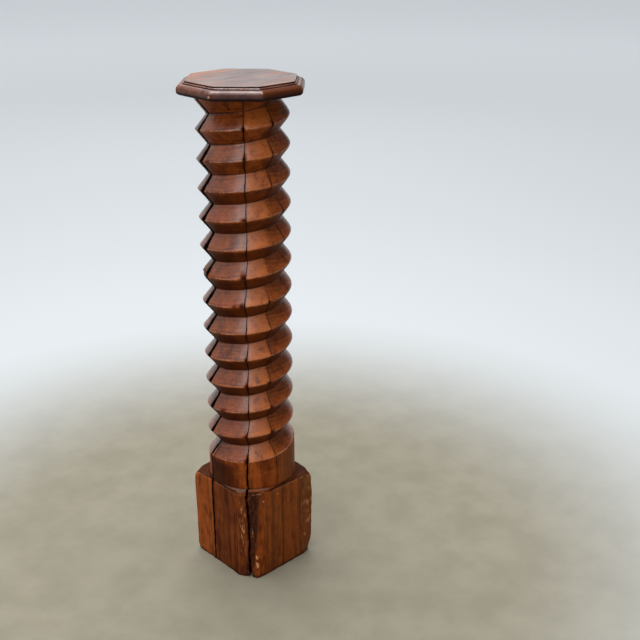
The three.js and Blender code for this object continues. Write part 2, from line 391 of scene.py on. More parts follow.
# %% Read the grid as azimuth and mark
place = np.array([v.co[:] for v in timber.verts]) / MM
grid_azimuth = np.degrees(np.arctan2(place[:, 1], place[:, 0])) % FULL_TURN
mark = place[:, 2]
height = np.where(mark >= COLLAR_FOOT_MARK, np.minimum(mark, seat_height), 0.0)
on_collar = mark >= COLLAR_FOOT_MARK - SAW_TOLERANCE
shoulder_share = np.clip((COLLAR_FOOT_MARK - mark) / SHOULDER_LENGTH, 0.0, 1.0)
face_share = np.clip((FACE_TOP_MARK - mark) / FACE_LENGTH, 0.0, 1.0)
rough_height = np.where(on_collar, height, (head_height + 4.0) * (1.0 - face_share))
print("marks from", round(mark.min()), "to", round(mark.max()))

# %% Where each point lies on the thread
turn_azimuth = (grid_azimuth - full_depth_azimuth) % FULL_TURN + full_depth_azimuth
turn_position = (mark - crest_height(turn_azimuth)) / thread_pitch
turn_number = np.floor(turn_position + 1e-4)
along_flanks = turn_position - turn_number
from_crest = 1.0 - np.abs(2.0 * along_flanks - 1.0)
on_upper_flank = along_flanks < 0.5
slant_share = np.where(on_upper_flank, from_crest, smooth_step(0.6, 1.0, from_crest))
slant_share *= smooth_step(head_height + 40.0, head_height + 80.0, mark)
print("turns from", int(turn_number.min()), "to", int(turn_number.max()))

# %% Open the columns at the cracks
CORNERS = {"left_back": (132.0, 132.9), "right_back": (46.0, 45.6), "front_right": (316.0, 315.6)}
CORNER_MARGIN = 1.0
ANCHORS = [(0.0, 0.0), (90.0, 90.0), (FULL_TURN, FULL_TURN)]


def column_places(level):
    """Pairs of a column on the grid and the azimuth it moves to, for every point's level."""
    places = [(column, np.full_like(level, azimuth)) for column, azimuth in ANCHORS]
    on_head = 1.0 - smooth_step(head_height - 8.0, head_height + 30.0, level)
    for column, azimuth in CORNERS.values():
        for side in (-1, 0, 1):
            tight = azimuth + side * CORNER_MARGIN
            loose = column + side * COLUMN_STEP
            places.append((loose, loose + (tight - loose) * on_head))
    for crack in cracks.values():
        middle = crack_line(crack, level, slant_share)
        half = np.degrees(crack_width(crack, level) / 2.0 / crest_radius)
        margin = math.degrees(LIP_MARGIN / crest_radius)
        for side in (-1, 1):
            places.append((crack["column"] + side * GRID_LIP, middle + side * half))
            places.append((crack["column"] + side * GRID_MARGIN, middle + side * (half + margin)))
        places.append((crack["column"], middle))
    places.sort(key=lambda pair: pair[0])
    ordered = [places[0]]
    for column, azimuth in places[1:]:
        ordered.append((column, np.maximum(azimuth, ordered[-1][1] + LEAST_GAP)))
    return ordered


def open_columns(column, level):
    """Azimuth of every point after the cracks have opened."""
    azimuth = column.copy()
    places = column_places(level)
    for (here, azimuth_here), (there, azimuth_there) in zip(places, places[1:]):
        inside = (column >= here) & (column < there)
        share = (column[inside] - here) / (there - here)
        azimuth[inside] = azimuth_here[inside] + share * (azimuth_there[inside] - azimuth_here[inside])
    return azimuth


azimuth = open_columns(grid_azimuth, rough_height)
print("columns moved by at most", round(float(np.abs(azimuth - grid_azimuth).max()), 1), "degrees")

# %% [markdown]
# ## Unevenness
# The screw was cut by hand and has been used and handled for a very long time. Soft noise moves the
# surfaces by fractions of a millimetre, and a sharper noise breaks small dents out of the crests.

# %% Noise for every point
directions = np.radians(azimuth)


def noise_on(points, scale, seed, stretch=1.0):
    """Smooth noise from -1 to 1 at points in mm; scale is its size in mm, stretch lengthens it upwards."""
    offset = Vector((seed * 17.3, seed * 5.1, seed * 9.7))
    return np.array([
        noise.noise(Vector((x / scale, y / scale, z / (scale * stretch))) + offset) for x, y, z in points
    ])


skin = np.stack([crest_radius * np.cos(directions), crest_radius * np.sin(directions), mark], axis=-1)
soft_noise = noise_on(skin, 45.0, 1)
dent_noise = noise_on(skin, 9.0, 2)
long_noise = noise_on(skin, 120.0, 3)
furrow_noise = noise_on(skin, 6.5, 4, stretch=7.0)
fine_furrow_noise = noise_on(skin, 3.0, 7, stretch=6.0)
chip_noise = noise_on(skin, 16.0, 5, stretch=1.6)
print("noise ready for", len(skin), "points")

# %% [markdown]
# ## The thread
# A press screw has a coarse V thread with sharp edges. In section it is a zigzag, and the distance from the
# nearest crest tells how deep a point lies. The tips are rounded by wear, more so on the side that faces
# right in the photo. Between two cracks the wood pulled itself a little flatter.

# %% The thread's radius
SHARP_TIP = 0.02
WORN_TIP = 0.10
ROOT_SOFTNESS = 0.045
FLATTENED_BY = 2.2
WORN_SIDE = -30.0
WORN_SPREAD = 75.0
RUN_OUT_DEPTH = 1.25
SOFT_UNEVENNESS = 0.35
DENT_UNEVENNESS = 0.12

wander = 0.5 * soft_noise
counted_azimuth = (azimuth - full_depth_azimuth) % FULL_TURN + full_depth_azimuth + FULL_TURN * turn_number
run_out = np.clip((full_depth_azimuth - counted_azimuth) / run_out_angle, 0.0, 1.0) ** run_out_curve

tip = SHARP_TIP + (WORN_TIP - SHARP_TIP) * bump(turned_from(WORN_SIDE, azimuth), WORN_SPREAD)
groove = from_crest - run_out * RUN_OUT_DEPTH
root_fill = np.sqrt((1.0 - groove) ** 2 + ROOT_SOFTNESS**2) - (1.0 - groove)
groove_depth = groove + (np.sqrt(groove**2 + tip**2) - groove) - root_fill
groove_depth = np.where(groove <= 0.0, np.maximum(groove_depth - np.abs(groove), 0.0) * 0.5, groove_depth)
thread_radius = crest_radius - thread_depth * np.clip(groove_depth, 0.0, 1.0)


def flattening(first, second, level):
    """How far the wood between two cracks lies inside the circle, from 0 at the cracks to 1 midway."""
    start = crack_line(cracks[first], level)
    end = crack_line(cracks[second], level)
    across = np.clip((azimuth - start) / (end - start), 0.0, 1.0)
    return 4.0 * across * (1.0 - across)


sunk = flattening("left", "middle", rough_height) + 0.25 * flattening("middle", "right", rough_height)
on_thread = smooth_step(head_height + 10.0, head_height + 80.0, mark)
thread_radius -= FLATTENED_BY * sunk * on_thread
thread_radius += SOFT_UNEVENNESS * soft_noise + DENT_UNEVENNESS * dent_noise
print("thread radius from", round(float(thread_radius[on_collar].min()), 1), "mm")

# %% [markdown]
# ## Broken crests
# A few crests have lost a bite of wood: one long blunt place on the left, and nicks where a crack crosses
# the edge. Each is a soft hollow round one spot of the crest line, with an uneven edge. A bite is listed by
# its azimuth and turn, then its length, height and depth in millimetres.

# %% Bites and dents in the crests
DENT_DEPTH = 2.6
bites = [
    (146.0, 7, 38.0, 13.0, 5.5), (163.5, 7, 15.0, 12.0, 5.0), (231.0, 12, 3.4, 6.0, 4.0),
    (231.5, 11, 3.4, 9.0, 3.0), (228.6, 9, 5.5, 3.0, 3.0), (224.8, 7, 6.0, 8.0, 6.0),
    (223.4, 6, 5.5, 4.0, 3.5), (226.2, 4, 3.0, 4.0, 2.5), (226.2, 3, 3.4, 5.0, 3.5),
    (222.6, 1, 4.6, 5.0, 4.5), (222.8, 0, 3.6, 8.0, 4.0), (267.4, 12, 4.5, 7.0, 3.6),
    (259.0, 6, 3.5, 4.0, 2.6), (256.6, 3, 5.0, 7.0, 3.6), (258.8, 2, 3.4, 4.5, 2.8),
    (259.0, 1, 4.6, 6.0, 3.2), (285.0, 9, 5.0, 5.0, 3.0), (166.0, 10, 5.0, 7.0, 4.0),
    (213.0, 6, 5.0, 3.5, 1.2), (190.0, 2, 7.0, 3.5, 1.2), (181.0, 11, 5.0, 3.5, 1.2),
]
torn = np.zeros(len(skin))
round_bites = np.zeros(len(skin))
for bite_azimuth, turn, length, tall, depth in bites:
    middle = crest_height(bite_azimuth - FULL_TURN + FULL_TURN * turn)
    along = np.radians(turned_from(bite_azimuth, azimuth)) * crest_radius
    distance = np.hypot(along / length, (mark - middle) / tall) + 0.25 * dent_noise
    hollow = 1.0 - smooth_step(0.55, 1.0, distance)
    bitten = np.minimum(thread_radius, crest_radius - depth + 0.9 * chip_noise)
    thread_radius = thread_radius + (bitten - thread_radius) * hollow
    torn = strongest(torn, hollow * (from_crest < 0.6))
    round_bites = strongest(round_bites, 1.0 - smooth_step(0.9, 2.2, distance))
near_crest = bump(from_crest, 0.07) * (run_out < 0.05)
dents = np.clip(dent_noise * 0.6 + chip_noise * 0.6 - 0.42, 0.0, 1.0) * near_crest
thread_radius -= DENT_DEPTH * dents
print("bites:", len(bites), "dented points:", int((dents > 0.02).sum()))

# %% [markdown]
# ## The hewn head
# The head was squared with an axe, so its faces stand at slightly different distances from the axis, lean in
# a little towards the foot and meet in arrises that are a little rounded. The front corner is wane: the round
# outside of the tree, where the log was too small to fill the square. A soft minimum of the distances to all
# faces gives the outline and eases its corners at the same time. A worn corner is listed by its azimuth and
# height, then its depth, its spread in degrees and its reach up and down.

# %% The hewn outline
ARRIS_SHARPNESS = 70.0
FALL_RUN = 60.0
LEAST_LEAN = 1e-3
worn_corners = [
    (132.9, 222.0, 7.0, 5.0, 16.0), (315.6, 222.0, 7.5, 6.0, 15.0), (315.6, -6.0, 8.0, 6.0, 32.0),
    (312.0, 190.0, 3.0, 4.0, 20.0), (45.6, 222.0, 5.0, 5.0, 14.0), (132.9, 0.0, 2.5, 4.0, 10.0),
]


def leaning(facing):
    """How squarely each point looks the way that a face looks, as a cosine that stays above zero."""
    return np.maximum(np.cos(np.radians(azimuth - facing)), LEAST_LEAN)


def hewn_radius(level):
    """Distance in mm from the axis to the hewn faces at a level, and the wane's share of the outline."""
    spread = np.where(
        level < head_height,
        -head_taper * (1.0 - level / head_height),
        (crest_radius - head_faces["left"][1]) * (level - head_height) / collar_flat_run,
    )
    share = np.clip(level / head_height, 0.0, 1.0)
    flat = 0.8 * long_noise + 0.3 * soft_noise
    inverse = np.zeros(len(level))
    for facing, distance in head_faces.values():
        inverse += (leaning(facing) / (distance + spread + flat)) ** ARRIS_SHARPNESS
    wane_on_front = wane_on_front_foot + (wane_on_front_top - wane_on_front_foot) * share
    run = np.hypot(wane_on_front, wane_on_left_face)
    facing = 180.0 + np.degrees(np.arctan2(wane_on_front, wane_on_left_face))
    corner_x = head_faces["left"][1] + spread
    corner_y = head_faces["front"][1] + spread
    distance = (wane_on_left_face * corner_x + wane_on_front * (corner_y - wane_on_left_face)) / run
    wane = (leaning(facing) / distance) ** ARRIS_SHARPNESS
    inverse += wane
    outline = inverse ** (-1.0 / ARRIS_SHARPNESS)
    for corner_azimuth, corner_height, depth, across, reach in worn_corners:
        outline -= depth * bump(azimuth - corner_azimuth, across) * bump(level - corner_height, reach)
    return outline, wane / inverse


def shoulder_height(radius):
    """Height in mm of the shoulder's top at a distance from the axis."""
    foot = crest_radius + shoulder_foot_width
    fall = foot + shoulder_flat_width
    fall_height = head_height - shoulder_flat_drop
    lowest = fall_height - FALL_RUN * shoulder_fall_slope
    distances = [crest_radius, foot, fall, fall + FALL_RUN]
    return np.interp(radius, distances, [head_height + shoulder_foot_rise, head_height, fall_height, lowest])


collar_limit, _ = hewn_radius(np.maximum(height, head_height + shoulder_foot_rise))
top_limit, _ = hewn_radius(np.full(len(mark), head_height))
face_top = np.minimum(shoulder_height(top_limit), head_height)
print("head from", round(float(top_limit.min()), 1), "to", round(float(top_limit.max()), 1), "mm out")

# %% [markdown]
# ## Fold the tube into the timber
# Every point now gets its real radius and height by its zone: thread and collar, shoulder, hewn faces, and
# the two ends, which are drawn in towards the axis.

# %% Radius and height of every point
radius = np.where(on_collar, np.minimum(thread_radius, collar_limit), 0.0)
level = np.where(on_collar, np.minimum(mark, seat_height), 0.0)

on_shoulder = ~on_collar & (mark >= FACE_TOP_MARK - SAW_TOLERANCE)
inner = np.minimum(crest_radius, collar_limit)
shoulder_radius = inner + (top_limit - inner) * shoulder_share**1.25
shoulder_level = np.minimum(
    shoulder_height(shoulder_radius), head_height + shoulder_foot_rise * (1.0 - shoulder_share)
)
radius[on_shoulder] = shoulder_radius[on_shoulder]
level[on_shoulder] = shoulder_level[on_shoulder] + 0.5 * soft_noise[on_shoulder] * shoulder_share[on_shoulder]

on_face = ~on_collar & ~on_shoulder & (mark >= FOOT_MARK - SAW_TOLERANCE)
face_level = face_top * (1.0 - face_share)
face_radius, wane_weight = hewn_radius(face_level)
level[on_face] = face_level[on_face]
radius[on_face] = face_radius[on_face]

# %% [markdown]
# ## Torn wood on the head
# The wane still shows the furrowed outside of the tree, roughest along its middle, with a ridge of sound
# wood at its right foot. The front face is rough at its right end too, and the foot's edge is chipped.

# %% Tear the wane and the right end
WANE_LEFT = 212.7
WANE_RIGHT_FOOT = 233.8
WANE_RIGHT_SPREAD = 13.8
FURROW_DEPTH = 6.0
ROUGH_END_DEPTH = 2.6
RIDGE_HEIGHT = 2.2
FOOT_WEAR = 2.4

face_height = face_level / head_height
across_wane = (azimuth - WANE_LEFT) / (WANE_RIGHT_FOOT + WANE_RIGHT_SPREAD * face_height - WANE_LEFT)
on_wane = band(-0.12, 0.06, 0.86, 1.06, across_wane)
bark = band(0.30, 0.42, 0.66, 0.80, across_wane)
furrows = np.abs(furrow_noise) * 1.3 + np.abs(fine_furrow_noise) * 0.6 + 0.25 * np.abs(chip_noise)
wane_edge = smooth_step(0.02, 0.6, wane_weight)
rough_part = on_face | (on_shoulder & (shoulder_share > 0.75))
radius -= FURROW_DEPTH * (0.30 * on_wane + 0.70 * bark) * furrows * rough_part
ridge = bump(across_wane - 0.90, 0.09) * bump(face_level, 62.0)
radius += RIDGE_HEIGHT * ridge * on_face

right_end = band(297.0, 304.0, 315.0, 319.0, azimuth) * on_face
radius -= ROUGH_END_DEPTH * right_end * (np.abs(furrow_noise) + 0.6 * np.abs(fine_furrow_noise))
foot_worn = smooth_step(0.945, 1.0, face_share) * np.clip(0.35 + 1.2 * chip_noise, 0.0, 1.0) * on_face
radius -= FOOT_WEAR * foot_worn
print("furrows down to", round(float((FURROW_DEPTH * furrows[on_face]).max()), 1), "mm")

# %% Fold the two ends in
for row, ring_radius in zip(end_rows, END_RADII):
    for ring_mark, ring_level in ((FOOT_MARK - row, 0.0), (seat_height + row, seat_height)):
        ring = np.abs(mark - ring_mark) < END_ROW / 2
        radius[ring] = ring_radius
        level[ring] = ring_level
print("timber spans", round(float(level.min()), 1), "to", round(float(level.max()), 1), "mm")

# %% [markdown]
# ## Push the crack bottoms in
# The middle column of a crack goes to the crack's depth. Points between a lip and the bottom slide with it.

# %% Crack bottoms
LEAST_CRACK = 0.3

in_crack = np.zeros(len(mark))
ends = (mark < FOOT_MARK - 1.0) | (mark > seat_height + 1.0)
for crack in cracks.values():
    opening = crack_opening(crack, rough_height)
    bottom = crest_radius - crack["depth"] * opening
    reach = np.clip(1.0 - np.abs(grid_azimuth - crack["column"]) / GRID_LIP, 0.0, 1.0)
    reach = np.where(ends | (opening < 0.02), 0.0, reach)
    target = np.minimum(bottom, radius - LEAST_CRACK)
    radius = radius + (target - radius) * reach
    in_crack = strongest(in_crack, reach * opening)
print("points in cracks:", int((in_crack > 0.1).sum()))

# %% Send every point to its place
EASE_LENGTH = 8.0

ease_top = smooth_step(0.0, EASE_LENGTH, seat_height - mark)
ease_collar = smooth_step(0.0, EASE_LENGTH, mark - COLLAR_SAW_HEIGHT)
climb = thread_pitch * (azimuth - grid_azimuth) / FULL_TURN
level = level + (climb + wander) * ease_top * ease_collar * (mark > COLLAR_SAW_HEIGHT)
final = np.stack([radius * np.cos(directions), radius * np.sin(directions), level], axis=-1)
for vertex, point in zip(timber.verts, final):
    vertex.co = Vector(point) * MM
print("points in place:", len(final))

# %% [markdown]
# ## Close the ends and mark the edges
# The small rings at both ends are filled, and the faces are turned outwards. Edges where two faces meet at
# a steep angle stay hard, and all others shade smoothly.

# %% Close the timber
HARD_ANGLE = math.radians(38.0)


def close_open_rims(mesh):
    open_edges = [edge for edge in mesh.edges if edge.is_boundary]
    return bmesh.ops.holes_fill(mesh, edges=open_edges, sides=0)["faces"]


def mark_hard_edges(mesh, angle):
    for face in mesh.faces:
        face.smooth = True
    for edge in mesh.edges:
        edge.smooth = not (len(edge.link_faces) == 2 and edge.calc_face_angle(0.0) > angle)


closing = close_open_rims(timber)
bmesh.ops.recalc_face_normals(timber, faces=timber.faces[:])
mark_hard_edges(timber, HARD_ANGLE)
timber.verts.index_update()
timber.faces.index_update()
print("closed with", len(closing), "faces;", sum(not e.is_manifold for e in timber.edges), "open edges left")

# %% [markdown]
# ## Marks of age and painted light for the finish
# The finish needs to know where the wood is worn pale, where shade, highlights and sheen are painted, and
# where it is torn. These are masks from 0 to 1 that each point carries along, worked out from the same values
# as the shape. Bare
# wood comes first: spots where the head was knocked, pale flecks among its furrows that are partly bare wood
# and partly painted glints, and a knot's dark ring.
# The numbers in these steps are places read off the photo: azimuths in degrees and heights in millimetres.

# %% Bare wood, painted glints and the knot
def on_spots(spots, azimuths, heights, raggedness):
    """The most of several soft spots, each given by azimuth, height, width and height in mm, and strength."""
    most = np.zeros(len(azimuths))
    for spot_azimuth, spot_height, width, tall, strength in spots:
        along = np.radians(turned_from(spot_azimuth, azimuths)) * crest_radius
        distance = np.hypot(along / width, (heights - spot_height) / tall) + raggedness
        most = strongest(most, strength * (1.0 - smooth_step(0.5, 1.1, distance)))
    return most


# Pale spots: bare wood where the head was knocked, and on the wane's ridges also painted glints.
bare_and_glint_spots = [
    (213.5, 148.0, 1.6, 13.0, 0.6), (215.6, 179.0, 1.6, 15.0, 0.5), (216.3, 129.0, 1.8, 14.0, 0.8),
    (218.0, 119.0, 2.0, 10.0, 0.8), (220.4, 88.0, 1.8, 9.0, 0.6), (219.0, 71.0, 2.0, 10.0, 0.4),
    (228.5, 115.0, 2.0, 24.0, 0.5), (232.6, 53.0, 2.8, 5.5, 1.4), (233.1, 34.0, 3.0, 8.5, 1.5),
    (233.4, 12.0, 3.0, 10.0, 0.35), (231.0, 213.0, 5.0, 2.6, 0.6), (237.0, 214.0, 7.0, 2.2, 0.6),
    (242.5, 196.0, 5.0, 3.5, 0.5), (248.0, 190.0, 2.0, 9.0, 0.4), (265.7, 202.0, 2.4, 3.2, 0.9),
    (290.5, 201.0, 2.0, 9.0, 0.4), (312.0, 195.0, 5.0, 12.0, 0.3), (138.5, 14.0, 5.0, 6.0, 0.4),
    (291.0, 213.5, 4.0, 2.4, 0.6), (297.5, 212.5, 3.0, 3.0, 0.6), (304.0, 213.5, 4.0, 3.4, 0.6),
    (262.0, 3.5, 3.0, 2.4, 0.45), (284.0, 4.0, 3.4, 2.8, 0.5), (295.0, 5.0, 4.0, 3.0, 0.5),
    (146.0, 20.0, 3.0, 5.0, 0.3), (267.4, 1040.0, 4.0, 3.5, 0.7), (255.6, 490.0, 5.0, 4.0, 0.5),
]
knots = [
    (209.2, 1081.0, 8.0, 6.5, 1.3), (210.8, 1070.5, 5.0, 4.0, 1.2), (206.5, 1061.5, 11.0, 2.2, 1.0),
    (214.0, 1060.0, 6.0, 2.0, 0.9),
]
knot_heart = [(209.4, 1081.5, 3.6, 2.8, 0.75)]

spot_level = np.where(on_face, level, mark)
bare_and_glint = on_spots(bare_and_glint_spots, azimuth, spot_level, 0.30 * np.abs(fine_furrow_noise) + 0.35 * dent_noise)
chips = smooth_step(0.12, 0.42, fine_furrow_noise + 0.25 * dent_noise)
up_the_end = smooth_step(30.0, 60.0, face_level) * (1.0 - 0.6 * smooth_step(150.0, 190.0, face_level))
# Pale flecks on the right end and on the wane are partly bare wood and partly painted glints on the ridges.
flecks_and_glints = 0.62 * right_end * smooth_step(302.0, 305.0, azimuth) * up_the_end
flecks_and_glints += 0.34 * band(212.0, 214.0, 219.0, 222.0, azimuth) * on_face * smooth_step(50.0, 80.0, face_level)
flecks_and_glints += 0.15 * on_wane * on_face
bare_and_glint = strongest(bare_and_glint, flecks_and_glints * chips)
knot = on_spots(knots, azimuth, mark, 0.2 * dent_noise) * on_collar
knot *= 1.0 - on_spots(knot_heart, azimuth, mark, 0.0)
print("bare wood on", int((bare_and_glint > 0.3).sum()), "points, knot on", int((knot > 0.3).sum()))

# %% [markdown]
# ## Wear, highlights, painted shade and torn wood
# Hands and cloths wear the crests and the head's upper arrises pale, and the pale crest line is also a
# painted highlight. Painted shade darkens the roots of the thread, the wood beside the cracks, the crease
# where the collar meets the shoulder, the shoulder's flat, and the foot, where it is a painted contact
# shadow; the knot's dark ring joins it. Torn wood is dark.

# %% Wear, highlights, painted shade and torn wood
crack_lines = {name: crack_line(crack, rough_height, slant_share) for name, crack in cracks.items()}
half_widths = {name: crack_width(crack, rough_height) / 2.0 for name, crack in cracks.items()}

# The pale line along the crests is partly wear and partly a painted highlight along their sharp edges.
crest_wear_and_highlight = bump(from_crest, 0.035) * on_collar * (run_out < 0.4) * (mark > 275.0)
arris_line = bump(face_share, 0.010) * on_face
wear_and_highlight = strongest(crest_wear_and_highlight * (1.0 - round_bites), arris_line)

# Painted shade along the roots, darker on the lower flank's side, where the crest above keeps the light off.
root_shade = bump(1.0 - from_crest, 0.07) * on_collar * (1.0 - run_out) * (mark > 290.0)
root_shade *= np.where(on_upper_flank, 0.35, 1.0)
left_of_crack = np.radians(crack_lines["left"] - azimuth) * crest_radius - half_widths["left"]
# A painted shadow band on the upper flanks just left of the left crack, and painted shade along the lips of
# every open crack.
left_crack_shadow = bump(np.maximum(left_of_crack, 0.0), 4.0) * (left_of_crack > -1.0) * on_upper_flank
crack_side_shade = 2.0 * left_crack_shadow * on_collar * (mark > 285.0) * (left_of_crack < 30.0)
for name, crack in cracks.items():
    away = np.radians(np.abs(azimuth - crack_lines[name])) * crest_radius
    from_lip = np.maximum(away - half_widths[name], 0.0)
    crack_side_shade = strongest(crack_side_shade, bump(from_lip, 1.6) * crack_opening(crack, rough_height))

# Painted shade in the crease where the collar meets the shoulder, stronger at the front.
collar_foot_shade = bump(mark - COLLAR_FOOT_MARK - 1.0, 2.2)
collar_foot_shade *= 1.0 + 0.8 * band(180.0, 190.0, 256.0, 266.0, azimuth)
off_front = 1.0 - band(182.0, 192.0, 254.0, 262.0, azimuth)
outer_shoulder = smooth_step(0.4, 0.62, shoulder_share)
# Painted shade on the shoulder's flat away from the front and on its outer part, less on the wane.
shoulder_shade = strongest(smooth_step(0.02, 0.10, shoulder_share) * off_front, outer_shoulder)
shoulder_shade *= on_shoulder * (0.95 - 0.40 * wane_edge)
# A painted contact shadow along the foot of the head, a few millimetres high.
foot_contact_shade = smooth_step(9.0, 1.0, face_level) * on_face
foot_contact_shade *= 0.65 + 0.5 * np.clip(soft_noise + chip_noise, 0.0, 1.0)
# Painted shade in the roots, beside the cracks, at the collar's foot, on the shoulder and along the foot,
# with the knot's dark ring added.
shade_and_knot = strongest(0.7 * root_shade, 0.45 * crack_side_shade) + 0.8 * knot + 0.5 * collar_foot_shade
shade_and_knot = np.clip(shade_and_knot + shoulder_shade + foot_contact_shade, 0.0, 1.0)

bark_shade = bark * (0.45 + 0.55 * smooth_step(40.0, 150.0, face_level)) * (0.55 + 1.2 * np.abs(furrow_noise))
torn_head = strongest(0.42 * on_wane + 0.85 * bark_shade, 0.25 * right_end) * on_face
torn = np.clip((strongest(torn, torn_head) + 1.5 * dents) * (1.0 - ridge), 0.0, 1.0)
print("mean wear", round(float(wear_and_highlight.mean()), 3), "shade_and_knot", round(float(shade_and_knot.mean()), 3))

# %% [markdown]
# ## Painted shade, painted light and polish
# Painted shade darkens the lower flanks under the crests, the collar's left side, the wood past the right
# crack, the head's left face and the upper flanks low on the left. The flanks between the middle and the
# right crack, and a strip of the head left of the left crack, are painted lighter and warmer as painted
# light. The upper flanks are polished, a few places get a greyish painted sheen, and a few are dull.

# %% Painted shade and painted warm light
past_middle = azimuth - crack_lines["middle"]
past_right = azimuth - crack_lines["right"]
before_left = crack_lines["left"] - azimuth

# Painted light: the upper flanks between the middle and the right crack are lighter and warmer, where they
# catch more light.
painted_warm_light = smooth_step(-0.6, 2.5, past_middle) * (1.0 - 0.8 * smooth_step(-7.0, 5.0, past_right)) * on_collar
painted_warm_light *= np.where(on_upper_flank, 1.0, 0.15) * smooth_step(250.0, 300.0, mark)
# Painted light on the head's strip left of the left crack, a little lighter and warmer.
warm_light_on_face = 0.2 * smooth_step(0.0, 4.0, before_left) * smooth_step(130.0, 136.0, azimuth) * on_face
painted_warm_light = strongest(painted_warm_light, warm_light_on_face)

# Painted shade: the lower flanks under the crests are darker, more so low down and towards the right.
low_or_right = strongest(smooth_step(960.0, 860.0, mark), smooth_step(252.0, 266.0, azimuth))
under_crests = smooth_step(0.04, 0.25, from_crest) * (0.45 + 0.55 * low_or_right) * ~on_upper_flank
under_crests *= (0.8 + 0.2 * smooth_step(218.0, 202.0, azimuth)) * on_collar * (1.0 - run_out)
# Painted shade on the collar's left side, past the right crack, on the head's left face and on the upper
# flanks low on the left.
belt = on_collar * smooth_step(290.0, 275.0, mark) * band(156.0, 166.0, 196.0, 220.0, azimuth)
right_side = 0.20 * on_collar * smooth_step(-2.0, 6.0, past_right) * smooth_step(330.0, 310.0, azimuth)
left_face = band(164.0, 170.0, 207.0, 215.0, azimuth) * on_face
left_face = left_face * (0.66 + 0.35 * np.clip(soft_noise + long_noise, -0.5, 1.0))
shaded_left = 0.28 * smooth_step(206.0, 184.0, azimuth) * smooth_step(960.0, 880.0, mark)
shaded_left *= smooth_step(-1.0, 1.0, -before_left) * on_upper_flank * on_collar
painted_shade = np.clip(strongest(under_crests, belt, right_side, left_face, shaded_left), 0.0, 1.0)
print("mean warm_light_share", round(float(painted_warm_light.mean()), 3), "shade_share", round(float(painted_shade.mean()), 3))

# %% Polish, painted sheen and dull places
polish = (1.0 - round_bites) * on_upper_flank * on_collar * smooth_step(268.0, 290.0, mark)
polish *= 0.78 + 0.22 * smooth_step(198.0, 214.0, azimuth) * smooth_step(2.0, -8.0, past_right)

# Painted sheen: a greyish veil on the front of the shoulder and on the upper flanks beyond the left crack.
painted_sheen = band(186.0, 196.0, 246.0, 258.0, azimuth) * band(0.04, 0.12, 0.4, 0.62, shoulder_share) * on_shoulder
beyond_left = smooth_step(0.5, 2.0, before_left) * smooth_step(138.0, 144.0, azimuth) * on_upper_flank
painted_sheen = strongest(painted_sheen, 0.75 * beyond_left * on_collar * smooth_step(268.0, 290.0, mark))

dull_collar = 0.6 * band(258.0, 272.0, 330.0, 350.0, azimuth) * on_collar * smooth_step(312.0, 300.0, mark)
dull_end = 1.4 * right_end * smooth_step(302.5, 307.0, azimuth) * (0.45 + 0.9 * chips)
dull_front = 0.5 * band(236.0, 250.0, 320.0, 330.0, azimuth) * on_face
dull = strongest(dull_collar, dull_end, dull_front)
print("mean polish", round(float(polish.mean()), 3), "dull", round(float(dull.mean()), 3))

# %% Mark the crack walls
# Faces inside the cracks, which are painted nearly black as painted shade.
crack_walls_shade = np.array([max(in_crack[v.index] for v in face.verts) > 0.5 for face in timber.faces])
print("faces inside cracks:", int(crack_walls_shade.sum()))


# %% Make an object of a mesh
def finish_piece(name, mesh, masks=None, face_masks=None):
    """Turns a bmesh into an object at the origin, with its masks as point and face attributes."""
    data = bpy.data.meshes.new(name)
    mesh.to_mesh(data)
    mesh.free()
    for domain, named in (("POINT", masks or {}), ("FACE", face_masks or {})):
        for mask_name, values in named.items():
            layer = data.attributes.new(mask_name, "FLOAT", domain)
            layer.data.foreach_set("value", np.asarray(values, dtype=np.float32))
    piece = bpy.data.objects.new(name, data)
    bpy.context.scene.collection.objects.link(piece)
    return piece


screw_masks = {"wear_and_highlight": wear_and_highlight, "shade_and_knot": shade_and_knot, "torn": torn, "bare_and_glint": bare_and_glint, "dull": dull, "painted_warm_light": painted_warm_light,
               "painted_shade": painted_shade, "polish": polish, "painted_sheen": painted_sheen}
screw = finish_piece("press_screw", timber, screw_masks, {"crack_walls_shade": crack_walls_shade})
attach(screw, "root")
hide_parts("screw")
print("press_screw:", len(screw.data.polygons), "faces")

# %% [markdown]
# ## The octagonal board
# The board is one thick piece with a moulding run round its edge: a small upright fillet under the flat
# top, a narrow sloping ledge, a quirk, an ovolo, a plain band and a rounded lower arris. An octagon is
# extruded and scaled from one line of the moulding to the next, which is how a joiner reads a profile.

# %% The board's moulding
board_top = board_high.z / MM
board_underside = board_low.z / MM
board_top_apothem = 109.4
fillet_height = 2.9
ledge_width = 3.6
ledge_fall = 1.7
quirk = 1.5
ovolo_width = 12.6
ovolo_height = 9.8
edge_band = 4.0
under_round_width = 10.6
ROUND_STEPS = 7
SIDES = 8

ovolo_inner = board_top_apothem + ledge_width
widest = ovolo_inner + ovolo_width
ledge_foot = board_top - fillet_height - ledge_fall
band_top = ledge_foot - quirk - ovolo_height
band_foot = band_top - edge_band


def quarter_round(inner_line, width, start, rise):
    """Apothem and height pairs of a quarter round, from its upright end to its level end."""
    angles = [math.pi / 2 * i / ROUND_STEPS for i in range(ROUND_STEPS + 1)]
    return [(inner_line + width * math.cos(a), start + rise * math.sin(a)) for a in angles]


under_inner = widest - under_round_width
under_round = quarter_round(under_inner, under_round_width, band_foot, board_underside - band_foot)
moulding = [
    *reversed(under_round),
    *quarter_round(ovolo_inner, ovolo_width, band_top, ovolo_height),
    (ovolo_inner, ledge_foot),
    (ovolo_inner - 0.4, ledge_foot + 0.2),
    (board_top_apothem + 0.6, board_top - fillet_height - 0.3),
    (board_top_apothem + 0.1, board_top - fillet_height),
    (board_top_apothem, board_top - 0.5),
    (board_top_apothem - 0.5, board_top),
]
print("moulding has", len(moulding), "lines; widest", round(2 * widest, 1), "mm across")

